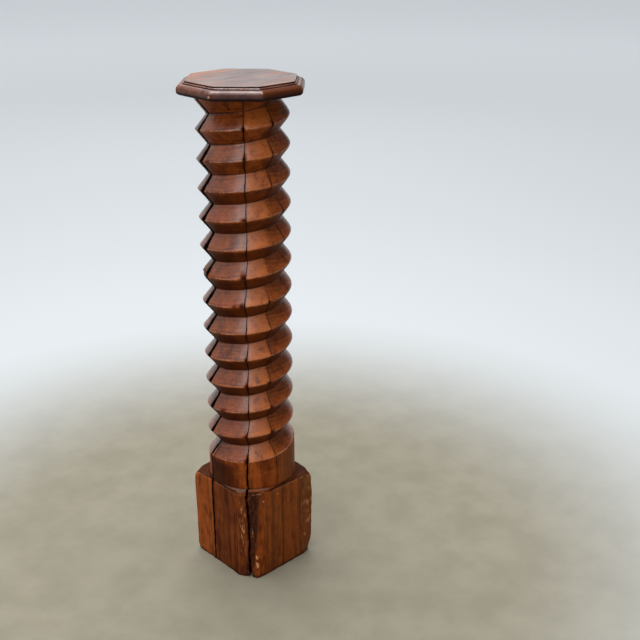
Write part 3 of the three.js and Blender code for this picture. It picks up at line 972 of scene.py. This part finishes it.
# %% Extrude the octagon
INNER_APOTHEM = 60.0
FIRST_CORNER = math.pi / SIDES

board = bmesh.new()
bmesh.ops.create_circle(
    board,
    cap_ends=False,
    radius=INNER_APOTHEM * MM / math.cos(FIRST_CORNER),
    segments=SIDES,
    matrix=Matrix.Translation((0, 0, board_underside * MM)) @ Matrix.Rotation(FIRST_CORNER, 4, "Z"),
)
rim = board.edges[:]
lines = [(INNER_APOTHEM, board_underside), *moulding, (INNER_APOTHEM, board_top)]
for (apothem_before, _), (apothem, line_level) in zip(lines, lines[1:]):
    rim = extrude_rim(board, rim, line_level)
    grow = apothem / apothem_before
    bmesh.ops.scale(board, vec=(grow, grow, 1.0), verts=list({v for edge in rim for v in edge.verts}))
print("board profile:", len(board.faces), "faces")

# %% [markdown]
# ## Soften and wear the board
# Long edges are divided so that they can be uneven. The corners get only a tiny bevel, because they are
# still crisp, and the two corners towards the camera are rubbed through to pale wood in small spots.

# %% Divide, bevel and wear the board
CORNER_BEVEL = 0.5
LONG_EDGE = 30.0
SIDE_CUTS = 15


def lies_across(edge):
    """True for an edge that runs from one line of the moulding to the next, up a corner."""
    first, second = (Vector(v.co.xy) for v in edge.verts)
    return abs(first.normalized().cross(second.normalized())) < 1e-3


corner_edges = [edge for edge in board.edges if lies_across(edge)]
bmesh.ops.bevel(
    board, geom=corner_edges, offset=CORNER_BEVEL * MM, affect="EDGES", segments=3, profile=0.5, material=-1
)
long_edges = [
    edge for edge in board.edges if edge.calc_length() > LONG_EDGE * MM and not lies_across(edge)
]
bmesh.ops.subdivide_edges(board, edges=long_edges, cuts=SIDE_CUTS, use_grid_fill=True)
bmesh.ops.recalc_face_normals(board, faces=board.faces[:])
print("board:", len(board.faces), "faces")

# %% Wear the board's corners
CORNER_WEAR = 0.8
CORNER_SPREAD = 0.9
BOARD_HARD_ANGLE = math.radians(28.0)

points = np.array([v.co[:] for v in board.verts]) / MM
point_azimuth = np.degrees(np.arctan2(points[:, 1], points[:, 0])) % FULL_TURN
reach = np.hypot(points[:, 0], points[:, 1])
edge_zone = smooth_step(112.0, 118.0, reach)
wear_noise = noise_on(points, 9.0, 11)
slow_noise = noise_on(points, 70.0, 12)
corners = np.arange(FULL_TURN / (2 * SIDES), FULL_TURN, FULL_TURN / SIDES)
corner_rub = strongest(*(bump(point_azimuth - corner, CORNER_SPREAD) for corner in corners)) * edge_zone
rub = CORNER_WEAR * corner_rub * (0.7 + 0.6 * wear_noise)
sag = edge_zone * (0.55 * slow_noise + 0.2 * wear_noise - 0.55) - rub
inward = np.where(reach > 1.0, (reach + sag) / np.maximum(reach, 1.0), 1.0)
drop = np.where(points[:, 2] > board_top - 1.0, -0.25 * (1.0 + slow_noise), 0.0)
for vertex, scale, fall in zip(board.verts, inward, drop):
    vertex.co.x *= scale
    vertex.co.y *= scale
    vertex.co.z += fall * MM
closing = close_open_rims(board)
bmesh.ops.recalc_face_normals(board, faces=board.faces[:])
mark_hard_edges(board, BOARD_HARD_ANGLE)
board.verts.index_update()
print("board:", len(board.faces), "faces, closed with", len(closing))

# %% Age masks, painted shade and painted sheen of the board
# Pale spots where the corners are rubbed through, in places also a painted highlight on a corner's edge.
rubbed_spots = [
    (202.55, board_underside + 9.5, 1.5, 4.6, 1.0), (247.6, board_underside + 18.0, 1.9, 5.0, 0.7),
    (247.9, board_underside + 12.0, 1.4, 4.0, 0.4), (292.5, board_underside + 14.0, 2.0, 6.0, 0.3),
    (157.5, board_underside + 12.0, 2.0, 6.0, 0.3),
]
# Heights of the quirk lines, which get painted shade.
shaded_levels = [board_top - 0.5, board_top - fillet_height, ledge_foot, ledge_foot - quirk]

point_level = points[:, 2]
rubbed = on_spots(rubbed_spots, point_azimuth, point_level, 0.3 * wear_noise) * edge_zone
# A painted shade line along the top's outer edge.
top_edge_shade = bump(reach - 111.0, 2.5) * (point_level > board_top - 0.4)
faces_left = band(150.0, 156.0, 199.5, 202.5, point_azimuth) * edge_zone
# The facets that face right, which get painted shade.
right_facets_shade = band(246.5, 249.0, 291.0, 294.0, point_azimuth) * edge_zone
faces_front = band(200.0, 204.0, 246.0, 249.0, point_azimuth) * edge_zone
in_quirks = strongest(*(np.abs(point_level - dirty) < 0.1 for dirty in shaded_levels)) * (reach > 100.0)
# Painted shade in the quirk lines, under the rounded lower arris and, lightly, on the facets that face right.
board_shade = strongest(in_quirks, smooth_step(band_foot + 1.5, band_foot - 2.0, point_level), 0.15 * right_facets_shade)
# A greyish painted sheen on the facets towards the front, and half as much on those to the left.
front_facets_sheen = strongest(faces_front, 0.5 * faces_left)
# The front mask carries the painted sheen of the facets, and the right mask their painted shade.
board_masks = {"wear_and_highlight": rubbed, "edge_shade": top_edge_shade, "shade_and_knot": board_shade,
               "front": front_facets_sheen, "right": right_facets_shade}
octagon = finish_piece("octagon_board", board, board_masks)
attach(octagon, "root")
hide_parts("octagonal_top")
print("octagon_board: dirt on", int((board_shade > 0.5).sum()), "points")

# %% [markdown]
# ## Writing shaders as sums
# A node tree is hard to read as a list of links. A small class wraps one socket, so that plus, minus and
# times add the Math nodes, and a second class adds any other node by its type, settings and inputs.

# %% A channel of a finish
class Channel:
    """One output socket of a finish. Arithmetic on it adds Math nodes to the tree."""

    def __init__(self, finish, socket):
        self.finish = finish
        self.socket = socket

    def _math(self, operation, first, second):
        return self.finish.node("ShaderNodeMath", {"operation": operation}, {0: first, 1: second})

    def __add__(self, other):
        return self._math("ADD", self, other)

    __radd__ = __add__

    def __sub__(self, other):
        return self._math("SUBTRACT", self, other)

    def __rsub__(self, other):
        return self._math("SUBTRACT", other, self)

    def __mul__(self, other):
        return self._math("MULTIPLY", self, other)

    __rmul__ = __mul__

    def between(self, low, high):
        """0 below low, 1 above high, smooth between them."""
        inputs = {"Value": self, "From Min": low, "From Max": high}
        return self.finish.node("ShaderNodeMapRange", {"interpolation_type": "SMOOTHSTEP"}, inputs)


# %% A finish and its nodes
class Finish:
    """A node tree whose nodes are added one by one, and linked as they are added."""

    def __init__(self, tree):
        self.tree = tree
        self.tree.nodes.clear()
        self.place = self.node("ShaderNodeTexCoord", output="Object")

    def node(self, kind, settings=None, inputs=None, output=0):
        """Adds a node, sets its settings and inputs, and returns one of its outputs as a Channel."""
        node = self.tree.nodes.new(kind)
        for key, value in (settings or {}).items():
            setattr(node, key, value)
        for key, value in (inputs or {}).items():
            if isinstance(value, Channel):
                self.tree.links.new(value.socket, node.inputs[key])
            else:
                node.inputs[key].default_value = value
        return Channel(self, node.outputs[output])

    def vector(self, operation, first, second, output=0):
        return self.node("ShaderNodeVectorMath", {"operation": operation}, {0: first, 1: second}, output)

    def mask(self, name):
        return self.node("ShaderNodeAttribute", {"attribute_name": name}, output="Fac")

    def noise(self, scale, detail=4.0, roughness=0.5, distortion=0.0):
        """Noise from 0 to 1 on the object's own coordinates, with its own scale along each axis."""
        inputs = {"Vector": self.vector("MULTIPLY", self.place, scale), "Scale": 1.0, "Detail": detail,
                  "Roughness": roughness, "Distortion": distortion}
        return self.node("ShaderNodeTexNoise", inputs=inputs)

    def blend(self, share, first, second):
        """Mixes two colours; each is a Channel or an (r, g, b, a) value."""
        settings = {"data_type": "RGBA"}
        return self.node("ShaderNodeMix", settings, {0: share, 6: first, 7: second}, output=2)

    def layers(self, colour, *coats):
        """Lays coats over a colour one after the other; each is a share and the colour it brings."""
        for share, shade in coats:
            colour = self.blend(share, colour, shade)
        return colour

    def surface(self, **sockets):
        """Adds the Principled surface and the output. Underscores in the names stand for spaces."""
        inputs = {name.replace("_", " "): value for name, value in sockets.items()}
        self.end_with("ShaderNodeOutputMaterial", self.node("ShaderNodeBsdfPrincipled", inputs=inputs))

    def end_with(self, kind, shader):
        output = self.tree.nodes.new(kind)
        self.tree.links.new(shader.socket, output.inputs["Surface"])


def new_finish(name):
    material = bpy.data.materials.new(name)
    material.use_nodes = True
    return material, Finish(material.node_tree)


def rgb(red, green, blue):
    return (red, green, blue, 1.0)


print("finish helpers ready")

# %% [markdown]
# ## The screw's wood
# Old fruitwood or walnut, dark red-brown under wax. The rings of the tree run round an axis close to the
# screw's own, so a flank cuts across them and shows fine concentric lines, while the collar and the head
# show long upright fibres. Both come from one solid pattern. Wear, torn wood, the knot, and the painted
# shade, light, highlights, glints and sheen follow the masks.

# %% Growth rings
PITH = (0.012, 0.006, 0.0)
RING_WIDTH = 0.0032


def tree_rings(finish, pith, ring_width, wobble):
    """Growth rings as bands of uneven width round an upright pith: a value from 0 to 1."""
    centred = finish.vector("SUBTRACT", finish.place, pith)
    flat = finish.vector("MULTIPLY", centred, (1.0, 1.0, 0.0))
    away = finish.vector("LENGTH", flat, (0.0, 0.0, 0.0), output="Value")
    bend = finish.noise((10.0, 10.0, 2.5), detail=3.0)
    position = (away + (bend - 0.5) * wobble) * (1.0 / ring_width)
    return finish.node(
        "ShaderNodeTexNoise", {"noise_dimensions": "1D"}, {"W": position, "Scale": 1.0, "Detail": 3.0}
    )


print("rings about", round(RING_WIDTH / MM, 1), "mm wide")


# %% The screw's wood
def screw_wood():
    material, wood = new_finish("screw_wood")
    rings = tree_rings(wood, PITH, RING_WIDTH, 0.016)
    fibre = wood.noise((480.0, 480.0, 26.0), detail=5.0, roughness=0.62)
    streak = wood.noise((120.0, 120.0, 13.0), detail=5.0, roughness=0.62, distortion=0.6)
    hair = wood.noise((300.0, 300.0, 10.0), detail=4.0, roughness=0.7, distortion=0.3)
    cloud = wood.noise((13.0, 13.0, 9.0), detail=4.0, roughness=0.55)
    mottle = wood.noise((52.0, 52.0, 38.0), detail=5.0, roughness=0.65)
    rubs = wood.noise((70.0, 70.0, 420.0), detail=4.0, roughness=0.65)
    wear_and_highlight, shade_and_knot, torn = wood.mask("wear_and_highlight"), wood.mask("shade_and_knot"), wood.mask("torn")
    bare_and_glint, dull, crack_walls_shade = wood.mask("bare_and_glint"), wood.mask("dull"), wood.mask("crack_walls_shade")
    painted_warm_light, painted_shade, polish, painted_sheen = wood.mask("painted_warm_light"), wood.mask("painted_shade"), wood.mask("polish"), wood.mask("painted_sheen")

    patchy = wood.noise((150.0, 150.0, 60.0), detail=3.0)
    fleck = wood.noise((420.0, 420.0, 110.0), detail=4.0, roughness=0.7)
    tone = rings * 0.30 + streak * 0.30 + cloud * 0.28 + mottle * 0.38
    colour = wood.layers(
        wood.blend(tone.between(0.50, 0.78), rgb(0.100, 0.0175, 0.0028), rgb(0.345, 0.078, 0.0115)),
        (cloud.between(0.48, 0.68) * 0.45, rgb(0.21, 0.030, 0.004)),
        # Painted light, lighter and warmer, between the middle and the right crack.
        (painted_warm_light * mottle.between(0.22, 0.54) * 0.80, rgb(0.48, 0.122, 0.022)),
        ((dull * 0.6).between(0.0, 0.95), rgb(0.265, 0.092, 0.024)),
        (hair.between(0.56, 0.68) * 0.38, rgb(0.032, 0.006, 0.0015)),
        (fibre.between(0.54, 0.74) * 0.45, rgb(0.040, 0.007, 0.0018)),
        (mottle.between(0.56, 0.72) * 0.36, rgb(0.045, 0.0075, 0.0016)),
        (polish * rubs.between(0.56, 0.70) * 0.45, rgb(0.050, 0.010, 0.003)),
        # Painted shade under the crests and on the shaded sides.
        (painted_shade * 0.86, rgb(0.026, 0.0040, 0.0008)),
        # Pale wear, which on the crests is also a painted highlight.
        (wear_and_highlight * patchy.between(0.36, 0.62) * 0.70, rgb(0.44, 0.19, 0.085)),
        (torn * 0.88, rgb(0.026, 0.0085, 0.0050)),
        (torn * fleck.between(0.54, 0.64) * 0.80, rgb(0.145, 0.070, 0.045)),
    )
    # The pale colour of bare wood, which also serves as painted glints on the head's ridges.
    bare_and_glint_colour = wood.blend(bare_and_glint, rgb(0.30, 0.10, 0.030), rgb(0.64, 0.29, 0.125))
    colour = wood.layers(
        colour,
        ((bare_and_glint * 1.6 * fleck.between(0.38, 0.56)).between(0.12, 0.95), bare_and_glint_colour),
        # Greyish painted sheen, broken by noise.
        (painted_sheen * patchy.between(0.30, 0.52) * 0.85, rgb(0.098, 0.074, 0.060)),
        # Painted shade in the hollows and along the foot, and the knot's dark ring.
        (shade_and_knot * 0.85, rgb(0.012, 0.004, 0.002)),
        # Painted shade, nearly black, on the walls inside the cracks.
        (crack_walls_shade * 0.95, rgb(0.005, 0.0025, 0.0015)),
    )
    roughness = 0.33 + fibre * 0.10 + rubs * 0.12 + torn * 0.10 + shade_and_knot * 0.25 + crack_walls_shade * 0.4
    relief = fibre * 0.5 + streak * 0.4 + rubs * 0.45 + mottle * 0.6 + torn * fleck * 1.6
    normal = wood.node("ShaderNodeBump", inputs={"Height": relief, "Strength": 0.32, "Distance": 0.0009})
    wood.surface(
        Base_Color=colour,
        Roughness=roughness,
        Specular_IOR_Level=0.05,
        Coat_Weight=(0.01 + 0.95 * polish) * (1.0 - torn) * (1.0 - crack_walls_shade),
        Coat_Roughness=0.25,
        Normal=normal,
    )
    return material


screw.data.materials.append(screw_wood())
print("screw_wood:", len(screw.data.materials[0].node_tree.nodes), "nodes")

# %% [markdown]
# ## The board's wood
# The board is a plain sawn plank, so its figure runs straight along X from side to side. It has the same
# wax as the screw, smeared on the flat top, thinner and redder towards the back left, and gone from the edge
# that faces right. Painted shade sits in the mouldings, along the top edge, under the rounded lower arris and
# on the facets that face right; the facets towards the front and left get a greyish painted sheen; pale wood
# shows where the corners are worn through, in places also a painted highlight.

# %% The board's wood
def board_wood():
    material, wood = new_finish("board_wood")
    figure = wood.noise((5.0, 40.0, 36.0), detail=4.0, roughness=0.6, distortion=0.8)
    line = wood.noise((14.0, 230.0, 130.0), detail=4.0, roughness=0.6)
    fibre = wood.noise((34.0, 640.0, 640.0), detail=4.0, roughness=0.6)
    cloud = wood.noise((9.0, 22.0, 22.0), detail=4.0, roughness=0.6)
    smear = wood.noise((14.0, 70.0, 60.0), detail=4.0, roughness=0.6, distortion=0.5)
    wear_and_highlight, edge_shade, shade_and_knot = wood.mask("wear_and_highlight"), wood.mask("edge_shade"), wood.mask("shade_and_knot")
    front, right = wood.mask("front"), wood.mask("right")
    towards_back_left = wood.vector("DOT_PRODUCT", wood.place, (-3.0, 6.5, 0.0), output="Value")

    tone = figure * 0.55 + line * 0.45
    glow = towards_back_left.between(0.20, 0.70) * smear.between(0.35, 0.6)
    colour = wood.layers(
        wood.blend(tone.between(0.42, 0.60), rgb(0.030, 0.0085, 0.0048), rgb(0.125, 0.037, 0.0155)),
        (cloud.between(0.5, 0.7) * 0.45, rgb(0.16, 0.045, 0.015)),
        (glow * 0.62, rgb(0.27, 0.095, 0.036)),
        (fibre.between(0.54, 0.74) * 0.55, rgb(0.030, 0.008, 0.004)),
        # Greyish purple painted sheen on the facets towards the front and left.
        (front * 0.55, rgb(0.060, 0.022, 0.020)),
        # Painted shade on the facets that face right.
        (right * 0.80, rgb(0.072, 0.0150, 0.0022)),
        # Pale rubbed-through wood, in places also a painted highlight.
        (wear_and_highlight.between(0.5, 0.9), rgb(0.58, 0.30, 0.16)),
        # Painted shade along the top's edge.
        (edge_shade * 0.55, rgb(0.045, 0.018, 0.012)),
        # Painted shade in the quirks and under the lower arris.
        (shade_and_knot * 0.90, rgb(0.014, 0.005, 0.004)),
    )
    coat = (0.38 + 0.36 * smear.between(0.35, 0.62)) * (1.0 - shade_and_knot)
    roughness = 0.20 + line * 0.18 + smear * 0.24 + shade_and_knot * 0.3 + right * 0.15
    relief = fibre * 0.5 + line * 0.6 + smear * 0.5
    normal = wood.node("ShaderNodeBump", inputs={"Height": relief, "Strength": 0.36, "Distance": 0.0006})
    wood.surface(
        Base_Color=colour,
        Roughness=roughness,
        Specular_IOR_Level=0.08,
        Coat_Weight=coat * (1.0 - right) * (1.0 - 0.65 * glow),
        Coat_Roughness=0.2,
        Normal=normal,
    )
    return material


octagon.data.materials.append(board_wood())
print("board_wood:", len(octagon.data.materials[0].node_tree.nodes), "nodes")

# %% [markdown]
# ## Floor and light
# A plain pale floor, painted darker round the pedestal as a pool of painted shade, so that the undersides of
# the thread stay dark. The light is
# a bright studio: a glow that fades low down and towards the right, a pale horizon, a large soft panel
# overhead, a weaker one high on the left, and one low behind that gives the flat top its sheen. A plain
# display transform keeps the dark wood as deep as it is.

# %% The floor
FLOOR_RADIUS = 30.0
NEAR_FADE = (0.55, 1.5)
FAR_FADE = (2.2, 10.0)

floor_mesh = bmesh.new()
bmesh.ops.create_circle(floor_mesh, cap_ends=True, radius=FLOOR_RADIUS, segments=96)
floor = finish_piece("floor", floor_mesh)
floor_material, floor_finish = new_finish("pale_floor")
from_middle = floor_finish.vector("LENGTH", floor_finish.place, (0.0, 0.0, 0.0), output="Value")
floor_cloud = floor_finish.noise((9.0, 9.0, 9.0), detail=5.0, roughness=0.6)
# Darker near the pedestal as a pool of painted shade, and pale farther out.
floor_colour = floor_finish.layers(
    rgb(0.158, 0.142, 0.100),
    (floor_cloud.between(0.3, 0.7), rgb(0.190, 0.171, 0.124)),
    (from_middle.between(*NEAR_FADE), rgb(0.40, 0.42, 0.43)),
    (from_middle.between(*FAR_FADE), rgb(0.80, 0.83, 0.85)),
)
floor_finish.surface(Base_Color=floor_colour, Roughness=0.8)
floor.data.materials.append(floor_material)
print("floor radius", FLOOR_RADIUS, "m")


# %% The soft panels
def soft_panel(name, azimuth, elevation, distance, size, power, colour=(1.0, 1.0, 1.0)):
    """A square area light that looks at the middle of the pedestal."""
    middle = Vector((0.0, 0.0, board_top * MM / 2))
    a, e = math.radians(azimuth), math.radians(elevation)
    away = Vector((math.cos(a) * math.cos(e), math.sin(a) * math.cos(e), math.sin(e)))
    data = bpy.data.lights.new(name, "AREA")
    data.size = size
    data.energy = power
    data.color = colour
    lamp = bpy.data.objects.new(name, data)
    lamp.location = middle + away * distance
    lamp.rotation_mode = "QUATERNION"
    lamp.rotation_quaternion = away.to_track_quat("Z", "Y")
    bpy.context.scene.collection.objects.link(lamp)
    return lamp


soft_panel("overhead", azimuth=70.0, elevation=84.0, distance=5.0, size=3.15, power=385.0)
soft_panel("left_window", azimuth=202.0, elevation=56.0, distance=5.0, size=2.7, power=60.0)
soft_panel("low_behind", azimuth=51.0, elevation=32.0, distance=5.0, size=2.8, power=27.0)

# %% The surrounding glow
GLOW = 1.1
LOW_GLOW = 0.24
HORIZON_GLOW = 0.68
DIM_SIDE = math.radians(322.0)
DIM_SHARE = 0.9

world = bpy.data.worlds.new("surrounding_glow")
world.use_nodes = True
glow = Finish(world.node_tree)
direction = glow.node("ShaderNodeTexCoord", output="Generated")
dim_side = (math.cos(DIM_SIDE), math.sin(DIM_SIDE), 0.0)
towards_dim_side = glow.vector("DOT_PRODUCT", direction, dim_side, output="Value")
upwards = glow.vector("DOT_PRODUCT", direction, (0.0, 0.0, 1.0), output="Value")
strength = LOW_GLOW + (GLOW - LOW_GLOW) * upwards.between(0.05, 0.5)
strength = strength * (1.0 - DIM_SHARE * towards_dim_side.between(-0.1, 0.65))
strength = strength + (HORIZON_GLOW - strength) * (1.0 - upwards.between(0.01, 0.15))
background = glow.node("ShaderNodeBackground", inputs={"Color": rgb(0.94, 0.97, 1.0), "Strength": strength})
glow.end_with("ShaderNodeOutputWorld", background)
bpy.context.scene.world = world
bpy.context.scene.view_settings.view_transform = "Standard"
print("glow", GLOW)
